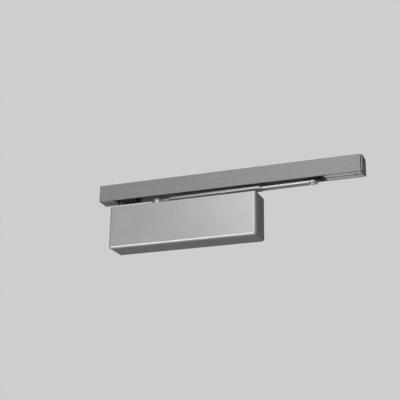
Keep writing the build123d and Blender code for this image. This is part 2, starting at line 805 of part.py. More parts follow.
def make_cap_screws():
    """The screws of both end plates."""
    screws = []
    for inner_x, outward in ((channel_left, -1), (channel_right, 1)):
        head_out = inner_x + outward * (track_cap_thickness - seat_gap)
        head_in = head_out - outward * cap_head_height
        tip = inner_x - outward * (cap_screw_length - free_gap)
        for y, z in cap_screw_points():
            screw = rod_x(cap_screw_radius, *sorted((tip, head_in)), y, z)
            screw += rod_x(cap_head_radius, *sorted((head_in, head_out)), y, z)
            screw -= hex_bar(cap_hex, cap_hex_depth, (head_out, y, z), (-outward, 0, 0))
            screws.append(screw)
    return group(screws)


def make_travel_stop():
    """Short block that limits the slide's travel, and the screw that jams it in the track."""
    x = (stop_left + stop_right) / 2
    y = track_middle
    stop = track_profile_block(stop_left, stop_right, block_gap)
    stop -= rod_z(stop_screw_radius + seat_gap, track_bottom, web_bottom, x, y)
    bottom = track_bottom + stop_screw_recess
    screw = rod_z(stop_screw_radius, bottom, web_bottom, x, y)
    return stop, screw - hex_bar(stop_hex, stop_hex_depth, (x, y, bottom), (0, 0, 1))


def make_bumper(x0, x1, soft_x):
    """Rubber buffer on a block's end, with its free edges rounded."""
    bumper = track_profile_block(x0, x1, block_gap + bumper_inset)
    upright = edges_where(bumper.faces().sort_by(Axis.Z)[-1], lambda c: near(c.X, soft_x))
    return fillet(upright, bumper_edge_radius)


def make_all():
    """Every node of the closer, by name."""
    nodes = {"cover": make_cover(), "body_casting": make_body_casting()}
    plugs = make_plugs()
    nodes["body_plug_hinge"], nodes["body_plug_spring"], nodes["plug_seals"] = plugs
    bush_end = bush_start + bush_length
    bush_bore = journal_radius + running_gap
    nodes["bush_upper"] = ring_z(upper_bore_radius - seat_gap, bush_bore, bush_start, bush_end)
    nodes["bush_lower"] = ring_z(lower_bore_radius - seat_gap, bush_bore, -bush_end, -bush_start)
    nodes["shaft_seal"] = ring_z(upper_bore_radius - seat_gap, bush_bore, seal_start, gland_start)
    nodes["gland_nut"] = make_gland_nut()
    foot_top = boss_bottom + foot_cap_length
    nodes["foot_cap"] = rod_z(lower_bore_radius - seat_gap, boss_bottom, foot_top)
    seals = []
    for name, (x, z) in valve_points().items():
        nodes[name], seal = make_valve(x, z)
        seals.append(seal)
    nodes["valve_seals"] = group(seals)
    nodes["cover_clips"], nodes["clip_screws"] = make_clips()
    nodes["pinion"] = make_pinion()
    nodes["arm"] = make_arm()
    nodes["arm_screw"], nodes["arm_washer"] = make_arm_screw()
    nodes["pivot_pin"], nodes["pivot_washer"], nodes["pivot_clip"] = make_pivot()
    nodes["piston"], nodes["piston_rings"], nodes["check_ball"], nodes["ball_retainer"] = make_piston()
    nodes["closing_spring"] = make_closing_spring()
    nodes["spring_seat"] = make_spring_seat()
    nodes["power_screw"] = make_power_screw()
    nodes["slide_block"], nodes["slide_bush"] = make_slide()
    nodes["track_channel"] = make_track_channel()
    nodes["track_cap_hinge"] = make_track_cap(channel_left, -1)
    nodes["track_cap_latch"] = make_track_cap(channel_right, 1)
    nodes["cap_screws"] = make_cap_screws()
    hinge_screw, latch_screw = track_screw_points()
    nodes["track_block_hinge"] = make_end_block(
        channel_left, hinge_block_right, hinge_screw, channel_left
    )
    nodes["track_block_latch"] = make_end_block(
        latch_block_left, channel_right, latch_screw, channel_right
    )
    nodes["travel_stop"], nodes["stop_screw"] = make_travel_stop()
    hinge_face = stop_right + bumper_length
    nodes["bumper_hinge"] = make_bumper(stop_right, hinge_face, hinge_face)
    latch_face = latch_block_left - bumper_length
    nodes["bumper_latch"] = make_bumper(latch_face, latch_block_left, latch_face)
    return nodes


os.makedirs("parts", exist_ok=True)
for node_name, node_shape in make_all().items():
    export_step(node_shape, f"parts/{node_name}.step")
print("cover", cover_length, "x", cover_depth, "x", cover_height)
print("pinion x", round(pinion_x, 3), "pivot x", round(pivot_x, 3), "arm angle", round(arm_angle, 3))
print("track x", round(channel_left - track_cap_thickness, 2), "to", round(channel_right + track_cap_thickness, 2))
print("track z", track_bottom, "to", track_top)
print("closer holes", mount_spacing_x, "x", mount_spacing_z, "track holes", track_screw_points())
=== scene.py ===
"""Looks of a surface door closer with a slide track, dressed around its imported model.

Everything is in metres, in the part's own frame: X along the track, Y to the back, Z up.
"""

import json
import math

import bmesh
import bpy
from mathutils import Matrix, Vector


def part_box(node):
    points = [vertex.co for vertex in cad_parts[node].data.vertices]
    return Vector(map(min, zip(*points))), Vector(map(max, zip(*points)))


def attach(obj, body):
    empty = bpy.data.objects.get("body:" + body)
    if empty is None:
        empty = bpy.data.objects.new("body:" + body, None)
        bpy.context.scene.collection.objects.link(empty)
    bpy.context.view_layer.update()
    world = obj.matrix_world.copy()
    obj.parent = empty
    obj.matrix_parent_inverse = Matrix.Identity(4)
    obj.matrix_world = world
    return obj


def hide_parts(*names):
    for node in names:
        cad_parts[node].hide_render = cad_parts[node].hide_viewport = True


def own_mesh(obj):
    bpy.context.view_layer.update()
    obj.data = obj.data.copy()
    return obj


MM = 0.001

# Camera, fitted to the corners of the cover and the track
VIEW_AZIMUTH = 21.49
VIEW_ELEVATION = -19.19
VIEW_ROLL = 0.79
VIEW_TARGET = Vector((31.6, -28.0, 46.5)) * MM
VIEW_DISTANCE = 1902.0 * MM
VIEW_FOCAL_PIXELS = 951.0
FRAME_PIXELS = 400.0
SENSOR_WIDTH = 36.0
VIEW_REACH = 100.0

# Stage
FLOOR_LEVEL = -1.6
FLOOR_SIZE = 60.0
FLOOR_COLOUR = "#E4E3E0"
FLOOR_LIGHT = "#E8E7E4"  # in broad faint clouds
SKY_COLOUR = "#F1F1F0"
SKY_SEEN = 0.7  # strength, as the camera and the metal see it
SKY_LIGHT = 0.05  # strength, as a light on the object
FLOOR_SEEN = 0.5  # the floor's share of its colour that shows without lamps

# Lamps: place in metres, width and height in metres, watts
LAMPS = {
    "key_panel": ((0.5, -1.1, 1.75), (2.2, 1.5), 23.0),
    "front_card": ((0.18, -1.75, 0.72), (1.45, 0.8), 11.2),
    "low_card": ((-0.44, -1.18, -0.66), (0.95, 1.3), 14.2),
    "back_panel": ((-0.6, 1.7, 0.8), (1.6, 1.4), 22.0),
}
LAMP_AIM = Vector((60.0, -30.0, 40.0)) * MM

# Patterns
NOISE_LOW, NOISE_HIGH = 0.32, 0.68  # where nearly all values of a noise lie
EVEN = (1.0, 1.0, 1.0)
DIE_LINES = (0.004, 1.0, 1.0)  # drawn out along X, as the die leaves them
GROUND_LINES = (0.01, 1.0, 1.0)  # drawn out along X, as a belt leaves them
RING_MM = 0.5  # between turned rings, so that they show; a real feed is 0.1 mm
RING_DEPTH_MM = 0.006

# Where the finish changes on one piece
BLADE_START = 164.0 * MM  # along the arm, from lacquer to plating
HUB_PLATING_TOP = 51.0 * MM
CASTING_GROUND_DEPTH = 0.4 * MM  # the casting's back is ground flat
GROOVE_WIDTH = 1.69 * MM  # between the track and an end plate
FLAT_FACING = 0.999  # on the cover's flats, the largest part of a face's direction
BENT_FACING = 0.97  # and in its bends, where the lacquer ran smooth
BEND_ROUGHNESS = 0.27

# Screws with a hexagon socket: body, finish, axis they lie along, head height, socket width, depth
SCREW_SETS = {
    "cap_screws": ("track", "stop_phosphated", 0, 2.0 * MM, 2.5 * MM, 1.4 * MM),
    "clip_screws": ("closer_body", "bright_steel", 1, 1.6 * MM, 2.5 * MM, 0.9 * MM),
}
SCREW_THREAD_RADIUS = 2.0 * MM
SCREW_THREAD_PITCH = 0.7 * MM
SCREW_EDGE = 0.35 * MM
SCREW_SIDES = 36
SOCKET_SIDES = 6
RIDGE_SIDES = 4
RIM_SHARE = 0.98  # of a screw's largest radius, beyond which only its head reaches

# Closing spring
SPRING_TURNS = 13.5
SPRING_END_TURNS = 1.0  # closed turns at each end
SPRING_WIRE_RADIUS = 3.25 * MM
SPRING_STEPS = 36  # points in a turn
SPRING_SIDES = 12
CLOSED_PITCH = 2.04  # of the wire's radius, between turns that touch
# Each half of the spring: its share of the wire, the joint that shortens it and the slide that says
# how far
SPRING_HALVES = {
    "piston": (0.0, 0.5, "arm_turn", "piston_slide"),
    "plate": (0.5, 1.0, "seat_slide", "seat_slide"),
}

SHARP_EDGE = math.radians(35.0)
SAME_POINT = 1e-6  # closer than this, two corners of a node's triangles are one

# Pieces turned on a lathe, by the axis they share: 0 along X, 1 along Y, 2 along Z
TURNED_GROUPS = {
    "cylinder": (0, ("body_plug_hinge", "body_plug_spring", "piston", "piston_rings", "check_ball",
                     "ball_retainer", "spring_seat", "power_screw")),
    "shaft": (2, ("pinion", "gland_nut", "foot_cap")),
    "sweep": (1, ("sweep_valve",)),
    "latch": (1, ("latch_valve",)),
    "backcheck": (1, ("backcheck_valve",)),
}


def srgb(text):
    """A hex colour as the linear RGBA that shader sockets take."""
    values = [int(text[i : i + 2], 16) / 255 for i in (1, 3, 5)]
    linear = [v / 12.92 if v <= 0.04045 else ((v + 0.055) / 1.055) ** 2.4 for v in values]
    return (*linear, 1.0)


# Flaked lacquer and near-black steel: their grains show, and the smooth reflection over them is
# faint
FAINT_SHEEN = {"Specular_Tint": srgb("#101010"), "Specular_IOR_Level": 0.05}


def add(tree, kind, settings=None, **links):
    """Adds a node; each link is an input's value, or the node, output or list that feeds it.

    An input goes by its name, with _ for spaces, or by its number as i0, i1 and so on.
    """
    node = tree.nodes.new(kind)
    for name, value in (settings or {}).items():
        setattr(node, name, value)
    for name, value in links.items():
        key = int(name[1:]) if name[1:].isdigit() else name.replace("_", " ")
        for feed in value if isinstance(value, list) else [value]:
            if isinstance(feed, bpy.types.Node):
                feed = feed.outputs[0]
            if isinstance(feed, bpy.types.NodeSocket):
                tree.links.new(feed, node.inputs[key])
            else:
                node.inputs[key].default_value = feed
    return node


def start_material(name, **shader):
    """A new material with one Principled shader, its sockets set by name."""
    material = bpy.data.materials.new(name)
    material.use_nodes = True
    tree = material.node_tree
    tree.nodes.clear()
    surface = add(tree, "ShaderNodeBsdfPrincipled", None, **shader)
    add(tree, "ShaderNodeOutputMaterial", None, Surface=surface)
    return material, tree, surface


def feed_surface(tree, surface, **outputs):
    """Links outputs to the shader's sockets, by name."""
    for name, output in outputs.items():
        tree.links.new(output, surface.inputs[name.replace("_", " ")])


def grained(
    name, dark, light, grain_mm, cloud_mm, grain_share, roughness, depth_mm, stretch=EVEN, **shader,
):
    """A fine grain over broad clouds: both tint it, clouds vary its gloss, grain is its relief."""
    material, tree, surface = start_material(name, **shader)
    place = add(tree, "ShaderNodeTexCoord").outputs["Object"]
    point = add(tree, "ShaderNodeMapping", None, Vector=place, Scale=stretch)
    grain = add(
        tree, "ShaderNodeTexNoise", None, Vector=point, Scale=1 / (grain_mm * MM), Detail=3.0,
    )
    cloud = add(
        tree, "ShaderNodeTexNoise", None, Vector=point, Scale=1 / (cloud_mm * MM), Detail=3.0,
    )
    mixed = add(tree, "ShaderNodeMix", None, i0=grain_share, i2=cloud, i3=grain)
    tone = add(
        tree, "ShaderNodeMapRange", None, Value=mixed, From_Min=NOISE_LOW, From_Max=NOISE_HIGH,
    )
    colour = add(
        tree, "ShaderNodeMix", {"data_type": "RGBA"}, i0=tone, i6=srgb(dark), i7=srgb(light),
    )
    gloss = add(
        tree, "ShaderNodeMapRange", None, Value=cloud, From_Min=NOISE_LOW, From_Max=NOISE_HIGH,
        To_Min=roughness[0], To_Max=roughness[1],
    )
    relief = add(tree, "ShaderNodeBump", None, Strength=1.0, Distance=depth_mm * MM, Height=grain)
    feed_surface(
        tree, surface, Base_Color=colour.outputs[2], Roughness=gloss.outputs[0],
        Normal=relief.outputs[0],
    )
    return material, tree, surface


def feed_of(socket):
    """What a socket gets: the output that is linked to it, or its own value."""
    return socket.links[0].from_socket if socket.is_linked else socket.default_value


def bare_or_painted_where(tree, surface, mask, dark, light, line_mm, roughness, metallic=None):
    """Shows another finish where the mask is one, with fine lines along X and no grain; the end
    plates' grooves get painted light and shade from it.

    It stays as metallic as the coat around it unless it is said to differ.
    """
    place = add(tree, "ShaderNodeTexCoord").outputs["Object"]
    along = add(tree, "ShaderNodeMapping", None, Vector=place, Scale=GROUND_LINES)
    lines = add(
        tree, "ShaderNodeTexNoise", None, Vector=along, Scale=1 / (line_mm * MM), Detail=2.0,
    )
    tone = add(
        tree, "ShaderNodeMapRange", None, Value=lines, From_Min=NOISE_LOW, From_Max=NOISE_HIGH,
    )
    masked_tone = add(
        tree, "ShaderNodeMix", {"data_type": "RGBA"}, i0=tone, i6=srgb(dark), i7=srgb(light),
    )
    coat_colour = feed_of(surface.inputs["Base Color"])
    colour = add(
        tree, "ShaderNodeMix", {"data_type": "RGBA"}, i0=mask, i6=coat_colour, i7=masked_tone.outputs[2],
    )
    coat_gloss = feed_of(surface.inputs["Roughness"])
    gloss = add(tree, "ShaderNodeMix", None, i0=mask, i2=coat_gloss, i3=roughness)
    feed_surface(tree, surface, Base_Color=colour.outputs[2], Roughness=gloss.outputs[0])
    relief = surface.inputs["Normal"].links[0].from_node.inputs["Strength"]
    strength = add(tree, "ShaderNodeMix", None, i0=mask, i2=feed_of(relief), i3=0.0)
    tree.links.new(strength.outputs[0], relief)
    if metallic is not None:
        coat_metallic = feed_of(surface.inputs["Metallic"])
        shine = add(tree, "ShaderNodeMix", None, i0=mask, i2=coat_metallic, i3=metallic)
        feed_surface(tree, surface, Metallic=shine.outputs[0])


def cover_finish():
    """Sprayed aluminium-flake lacquer: even satin grey, glossier where it ran round the bends."""
    # The flakes sparkle finely; they are really 0.03 mm, and drawn coarse enough to show
    material, tree, surface = grained(
        "silver_lacquer_cover", "#979797", "#A3A3A3", grain_mm=0.7, cloud_mm=60.0, grain_share=0.7,
        roughness=(0.34, 0.36), depth_mm=0.006, Metallic=0.6, **FAINT_SHEEN,
    )
    facing = add(tree, "ShaderNodeTexCoord").outputs["Normal"]
    parts = add(tree, "ShaderNodeVectorMath", {"operation": "ABSOLUTE"}, i0=facing)
    axes = add(tree, "ShaderNodeSeparateXYZ", None, Vector=parts).outputs
    level = add(tree, "ShaderNodeMath", {"operation": "MAXIMUM"}, i0=axes[0], i1=axes[1])
    largest = add(tree, "ShaderNodeMath", {"operation": "MAXIMUM"}, i0=level, i1=axes[2])
    bend = add(
        tree, "ShaderNodeMapRange", None, Value=largest, From_Min=FLAT_FACING,
        From_Max=BENT_FACING,
    )
    coat_gloss = feed_of(surface.inputs["Roughness"])
    gloss = add(tree, "ShaderNodeMix", None, i0=bend, i2=coat_gloss, i3=BEND_ROUGHNESS)
    feed_surface(tree, surface, Roughness=gloss.outputs[0])
    return material


def arm_finish():
    """Forged arm: silver lacquer, with bright nickel on the slim blade and the hub's boss."""
    material, tree, surface = grained(
        "silver_lacquer_and_nickel_arm", "#A2A3A4", "#B0B1B2", grain_mm=0.7, cloud_mm=60.0,
        grain_share=0.7, roughness=(0.35, 0.38), depth_mm=0.008, Metallic=0.6, **FAINT_SHEEN,
    )
    place = add(tree, "ShaderNodeTexCoord").outputs["Object"]
    axes = add(tree, "ShaderNodeSeparateXYZ", None, Vector=place)
    blade = add(
        tree, "ShaderNodeMath", {"operation": "GREATER_THAN"}, i0=axes.outputs[0], i1=BLADE_START,
    )
    boss = add(
        tree, "ShaderNodeMath", {"operation": "LESS_THAN"}, i0=axes.outputs[2], i1=HUB_PLATING_TOP,
    )
    plated = add(tree, "ShaderNodeMath", {"operation": "MAXIMUM"}, i0=blade, i1=boss)
    bare_or_painted_where(
        tree, surface, plated.outputs[0], "#A7A8A9", "#ADAEAF", line_mm=0.8, roughness=0.28,
    )
    return material


def end_plate_finish():
    """Lacquered end plates, the hinge end's groove painted pale as light, the latch end's painted
    black as shade.
    """
    material, tree, surface = grained(
        "silver_lacquer_end_plate", "#7A7A7A", "#868686", grain_mm=1.5, cloud_mm=30.0,
        grain_share=0.4, roughness=(0.4, 0.44), depth_mm=0.004, Metallic=0.4, **FAINT_SHEEN,
    )
    low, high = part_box("track_channel")
    place = add(tree, "ShaderNodeTexCoord").outputs["Object"]
    along = add(tree, "ShaderNodeSeparateXYZ", None, Vector=place)
    latch_end = add(tree, "ShaderNodeMath", {"operation": "GREATER_THAN"}, i0=along, i1=0.0)
    hinge_end = add(tree, "ShaderNodeMath", {"operation": "SUBTRACT"}, i0=1.0, i1=latch_end)
    # Painted light: a pale strip in the hinge end's groove stands in for the light on its edge
    hinge_groove = add(
        tree, "ShaderNodeMath", {"operation": "GREATER_THAN"}, i0=along, i1=low.x - GROOVE_WIDTH,
    )
    painted_light_groove = add(tree, "ShaderNodeMath", {"operation": "MULTIPLY"}, i0=hinge_end, i1=hinge_groove)
    bare_or_painted_where(
        tree, surface, painted_light_groove.outputs[0], "#BCBCBC", "#C4C4C4", line_mm=1.5, roughness=0.42,
    )
    # Painted shade: a black strip in the latch end's groove stands in for the groove's shade
    latch_groove = add(
        tree, "ShaderNodeMath", {"operation": "LESS_THAN"}, i0=along, i1=high.x + GROOVE_WIDTH,
    )
    painted_shade_groove = add(tree, "ShaderNodeMath", {"operation": "MULTIPLY"}, i0=latch_end, i1=latch_groove)
    bare_or_painted_where(
        tree, surface, painted_shade_groove.outputs[0], "#1C1C1C", "#262626", line_mm=1.5, roughness=0.6,
        metallic=0.0,
    )
    return material


def casting_finish():
    """Iron casting: grey enamel over sand grain, with a bright ground face at the back."""
    material, tree, surface = grained(
        "enamelled_iron_casting", "#5A5C60", "#6C6E72", grain_mm=1.4, cloud_mm=25.0,
        grain_share=0.6, roughness=(0.48, 0.6), depth_mm=0.09, Metallic=0.0,
    )
    place = add(tree, "ShaderNodeTexCoord").outputs["Object"]
    axes = add(tree, "ShaderNodeSeparateXYZ", None, Vector=place)
    ground = add(
        tree, "ShaderNodeMath", {"operation": "GREATER_THAN"}, i0=axes.outputs[1],
        i1=-CASTING_GROUND_DEPTH,
    )
    bare_or_painted_where(
        tree, surface, ground.outputs[0], "#9A9B9D", "#AEAFB0", line_mm=1.2, roughness=0.42,
        metallic=0.6,
    )
    return material


def turned_steel(name, axis, centre):
    """Turned steel: bright rings round the lathe's axis."""
    material, tree, surface = start_material(name, Metallic=0.85)
    along = Vector([float(i == axis) for i in range(3)])
    across = Vector(EVEN) - along
    place = add(tree, "ShaderNodeTexCoord").outputs["Object"]
    from_axis = add(tree, "ShaderNodeVectorMath", {"operation": "SUBTRACT"}, i0=place, i1=centre)
    flat = add(tree, "ShaderNodeVectorMath", {"operation": "MULTIPLY"}, i0=from_axis, i1=across)
    radius = add(tree, "ShaderNodeVectorMath", {"operation": "LENGTH"}, i0=flat)
    reach = add(tree, "ShaderNodeVectorMath", {"operation": "DOT_PRODUCT"}, i0=from_axis, i1=along)
    point = add(
        tree, "ShaderNodeCombineXYZ", None, X=radius.outputs["Value"], Y=reach.outputs["Value"],
    )
    rings = add(
        tree, "ShaderNodeTexNoise", {"noise_dimensions": "2D"}, Vector=point,
        Scale=1 / (RING_MM * MM), Detail=2.0,
    )
    tone = add(
        tree, "ShaderNodeMapRange", None, Value=rings, From_Min=NOISE_LOW, From_Max=NOISE_HIGH,
    )
    colour = add(
        tree, "ShaderNodeMix", {"data_type": "RGBA"}, i0=tone, i6=srgb("#8E8F91"),
        i7=srgb("#B0B1B3"),
    )
    gloss = add(
        tree, "ShaderNodeMapRange", None, Value=rings, From_Min=NOISE_LOW, From_Max=NOISE_HIGH,
        To_Min=0.28, To_Max=0.42,
    )
    relief = add(
        tree, "ShaderNodeBump", None, Strength=1.0, Distance=RING_DEPTH_MM * MM, Height=rings,
    )
    feed_surface(
        tree, surface, Base_Color=colour.outputs[2], Roughness=gloss.outputs[0],
        Normal=relief.outputs[0],
    )
    return material


def make_finishes():
    """One material for each finish of the closer, by the record's slots."""
    # Satin anodised extrusion: die lines along its length, soft and even between them
    track = grained(
        "anodised_aluminium_track", "#797979", "#858585", grain_mm=0.5, cloud_mm=14.0,
        grain_share=0.5, roughness=(0.4, 0.48), depth_mm=0.006, stretch=DIE_LINES, Metallic=0.4,
        Specular_Tint=srgb("#101010"), Specular_IOR_Level=0.1,
    )
    # Zinc die casting: smooth and pale, with the cloudy flow marks of the mould
    zinc = grained(
        "zinc_die_casting", "#BEBFC0", "#CECFD0", grain_mm=3.0, cloud_mm=16.0, grain_share=0.3,
        roughness=(0.36, 0.44), depth_mm=0.008, Metallic=0.6,
    )
    # The same casting at the hinge end, darker and duller
    dull_zinc = grained(
        "untreated_zinc_casting", "#77787A", "#87888A", grain_mm=3.0, cloud_mm=16.0,
        grain_share=0.3, roughness=(0.44, 0.52), depth_mm=0.008, Metallic=0.6,
    )
    # Nearly black, matt steel, faintly crystalline
    stop = grained(
        "phosphated_steel", "#2E2F31", "#3A3B3D", grain_mm=0.6, cloud_mm=8.0, grain_share=0.5,
        roughness=(0.5, 0.6), depth_mm=0.006, Metallic=0.3, **FAINT_SHEEN,
    )
    # Zinc plating on small steel pieces: bright, with faint blotches
    plated = grained(
        "zinc_plated_steel", "#B9BBBD", "#CDCFD0", grain_mm=0.6, cloud_mm=6.0, grain_share=0.4,
        roughness=(0.26, 0.34), depth_mm=0.003, Metallic=0.85,
    )
    # Oiled spring steel: near black, glossy, with the streaks of the drawing die
    spring = grained(
        "oiled_spring_steel", "#3A3B3E", "#55565A", grain_mm=0.8, cloud_mm=12.0, grain_share=0.5,
        roughness=(0.26, 0.38), depth_mm=0.004, Metallic=0.8,
    )
    # Sintered bronze: warm and dull, with open pores
    bronze = grained(
        "sintered_bronze", "#8A6238", "#A87B49", grain_mm=0.4, cloud_mm=5.0, grain_share=0.6,
        roughness=(0.4, 0.5), depth_mm=0.012, Metallic=0.8,
    )
    # Moulded nylon: nearly black, with the fine spark grain of its mould
    nylon = grained(
        "moulded_nylon_black", "#121213", "#1B1B1C", grain_mm=0.5, cloud_mm=12.0, grain_share=0.5,
        roughness=(0.44, 0.56), depth_mm=0.01, IOR=1.53,
    )
    # Moulded rubber: black and dull, a little dusty
    rubber = grained(
        "moulded_rubber_black", "#0B0B0B", "#171717", grain_mm=0.6, cloud_mm=6.0, grain_share=0.4,
        roughness=(0.62, 0.74), depth_mm=0.015, IOR=1.52,
    )
    return {
        "cover_lacquer": cover_finish(),
        "arm_lacquer": arm_finish(),
        "end_plate": end_plate_finish(),
        "track_anodised": track[0],
        "block_zinc": zinc[0],
        "hinge_block": dull_zinc[0],
        "stop_phosphated": stop[0],
        "casting_iron": casting_finish(),
        "bright_steel": plated[0],
        "spring_steel": spring[0],
        "bush_bronze": bronze[0],
        "slide_nylon": nylon[0],
        "rubber_black": rubber[0],
    }


def dress_nodes(frame, finishes):
    """Gives every node of the frame its finish."""
    by_node = {
        "track_cap_hinge": finishes["end_plate"],
        "track_cap_latch": finishes["end_plate"],
        "track_block_hinge": finishes["hinge_block"],
    }
    for group, (axis, names) in TURNED_GROUPS.items():
        low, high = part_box(names[0])
        turned = turned_steel(f"turned_steel_{group}", axis, (low + high) / 2)
        by_node.update({name: turned for name in names})
    for entry in frame["record"]["subparts"]:
        name = entry["node"]
        materials = frame["nodes"][name].data.materials
        materials.clear()
        materials.append(by_node[name] if name in by_node else finishes[entry["material_slot"]])


def start_tree(name, sizes):
    """A Geometry Nodes tree that takes a mesh, named sizes and a material."""
    tree = bpy.data.node_groups.new(name, "GeometryNodeTree")
    tree.interface.new_socket("Geometry", in_out="OUTPUT", socket_type="NodeSocketGeometry")
    tree.interface.new_socket("Geometry", in_out="INPUT", socket_type="NodeSocketGeometry")
    for size in sizes:
        tree.interface.new_socket(size, in_out="INPUT", socket_type="NodeSocketFloat")
    tree.interface.new_socket("Material", in_out="INPUT", socket_type="NodeSocketMaterial")
    return tree, add(tree, "NodeGroupInput").outputs


def end_tree(tree, given, shape):
    """Ends a tree: round faces smooth, sharp edges kept, instances made real, material set."""
    smooth = add(tree, "GeometryNodeSetShadeSmooth", None, Geometry=shape)
    angle = add(tree, "GeometryNodeInputMeshEdgeAngle")
    sharp = add(tree, "FunctionNodeCompare", None, i0=angle, i1=SHARP_EDGE)
    edged = add(
        tree, "GeometryNodeSetShadeSmooth", {"domain": "EDGE"}, Geometry=smooth, Selection=sharp,
        Shade_Smooth=False,
    )
    real = add(tree, "GeometryNodeRealizeInstances", None, Geometry=edged)
    dressed = add(tree, "GeometryNodeSetMaterial", None, Geometry=real, Material=given["Material"])
    add(tree, "NodeGroupOutput", None, Geometry=dressed)


def screw_tree():
    """A screw on every point, facing its aim: chamfered head, hexagon socket, thread to its end."""
    sizes = (
        "Head Radius", "Head Height", "Head Edge", "Socket Width", "Socket Depth", "Shank Length",
        "Thread Radius", "Thread Pitch",
    )
    tree, given = start_tree("socket_screw", sizes)
    ridge = add(tree, "ShaderNodeMath", {"operation": "DIVIDE"}, i0=given["Thread Pitch"], i1=2.0)
    core = add(
        tree, "ShaderNodeMath", {"operation": "SUBTRACT"}, i0=given["Thread Radius"], i1=ridge,
    )
    rim = add(
        tree, "ShaderNodeMath", {"operation": "SUBTRACT"}, i0=given["Head Height"],
        i1=given["Head Edge"],
    )
    blank = add(
        tree, "GeometryNodeMeshCylinder", None, Vertices=SCREW_SIDES, Radius=given["Head Radius"],
        Depth=rim,
    )
    # The head's chamfer
    raised = add(
        tree, "GeometryNodeExtrudeMesh", None, Mesh=blank, Selection=blank.outputs["Top"],
        Offset_Scale=given["Head Edge"],
    )
    face = add(
        tree, "ShaderNodeMath", {"operation": "SUBTRACT"}, i0=given["Head Radius"],
        i1=given["Head Edge"],
    )
    face_share = add(
        tree, "ShaderNodeMath", {"operation": "DIVIDE"}, i0=face, i1=given["Head Radius"],
    )
    crown = add(
        tree, "GeometryNodeScaleElements", None, Geometry=raised, Selection=raised.outputs["Top"],
        Scale=face_share,
    )
    # The shank, drawn out of the head's lower face
    seat = add(
        tree, "GeometryNodeExtrudeMesh", None, Mesh=crown, Selection=blank.outputs["Bottom"],
        Offset_Scale=0.0,
    )
    core_share = add(
        tree, "ShaderNodeMath", {"operation": "DIVIDE"}, i0=core, i1=given["Head Radius"],
    )
    neck = add(
        tree, "GeometryNodeScaleElements", None, Geometry=seat, Selection=seat.outputs["Top"],
        Scale=core_share,
    )
    shank = add(
        tree, "GeometryNodeExtrudeMesh", None, Mesh=neck, Selection=seat.outputs["Top"],
        Offset_Scale=given["Shank Length"],
    )
    # The head's top at zero, and the socket cut down from it
    half_rim = add(tree, "ShaderNodeMath", {"operation": "DIVIDE"}, i0=rim, i1=-2.0)
    drop = add(
        tree, "ShaderNodeMath", {"operation": "SUBTRACT"}, i0=half_rim, i1=given["Head Edge"],
    )
    down = add(tree, "ShaderNodeCombineXYZ", None, Z=drop)
    lowered = add(tree, "GeometryNodeTransform", None, Geometry=shank, Translation=down)
    corner = add(
        tree, "ShaderNodeMath", {"operation": "DIVIDE"}, i0=given["Socket Width"],
        i1=math.sqrt(3.0),
    )
    twice = add(tree, "ShaderNodeMath", {"operation": "MULTIPLY"}, i0=given["Socket Depth"], i1=2.0)
    key = add(
        tree, "GeometryNodeMeshCylinder", None, Vertices=SOCKET_SIDES, Radius=corner, Depth=twice,
    )
    socketed = add(
        tree, "GeometryNodeMeshBoolean", {"operation": "DIFFERENCE", "solver": "EXACT"},
        Mesh_1=lowered, Mesh_2=key,
    )
    # The thread, a ridge wound round the core from half a pitch above the screw's end
    run = add(
        tree, "ShaderNodeMath", {"operation": "SUBTRACT"}, i0=given["Shank Length"],
        i1=given["Thread Pitch"],
    )
    turns = add(tree, "ShaderNodeMath", {"operation": "DIVIDE"}, i0=run, i1=given["Thread Pitch"])
    helix = add(
        tree, "GeometryNodeCurveSpiral", None, Resolution=SCREW_SIDES // 2, Rotations=turns,
        Start_Radius=core, End_Radius=core, Height=run,
    )
    upright = add(tree, "GeometryNodeSetCurveNormal", {"mode": "Z_UP"}, Curve=helix)
    section = add(
        tree, "GeometryNodeCurvePrimitiveCircle", None, Resolution=RIDGE_SIDES, Radius=ridge,
    )
    wound = add(
        tree, "GeometryNodeCurveToMesh", None, Curve=upright, Profile_Curve=section, Fill_Caps=True,
    )
    start = add(
        tree, "ShaderNodeMath", {"operation": "SUBTRACT"}, i0=ridge, i1=given["Head Height"],
    )
    low = add(tree, "ShaderNodeMath", {"operation": "SUBTRACT"}, i0=start, i1=given["Shank Length"])
    below = add(tree, "ShaderNodeCombineXYZ", None, Z=low)
    thread = add(tree, "GeometryNodeTransform", None, Geometry=wound, Translation=below)
    screw = add(tree, "GeometryNodeJoinGeometry", None, Geometry=[socketed, thread])
    aim = add(tree, "GeometryNodeInputNamedAttribute", {"data_type": "FLOAT_VECTOR"}, Name="aim")
    turn = add(tree, "FunctionNodeAlignRotationToVector", {"axis": "Z"}, Vector=aim)
    screws = add(
        tree, "GeometryNodeInstanceOnPoints", None, Points=given["Geometry"], Instance=screw,
        Rotation=turn,
    )
    end_tree(tree, given, screws)
    return tree


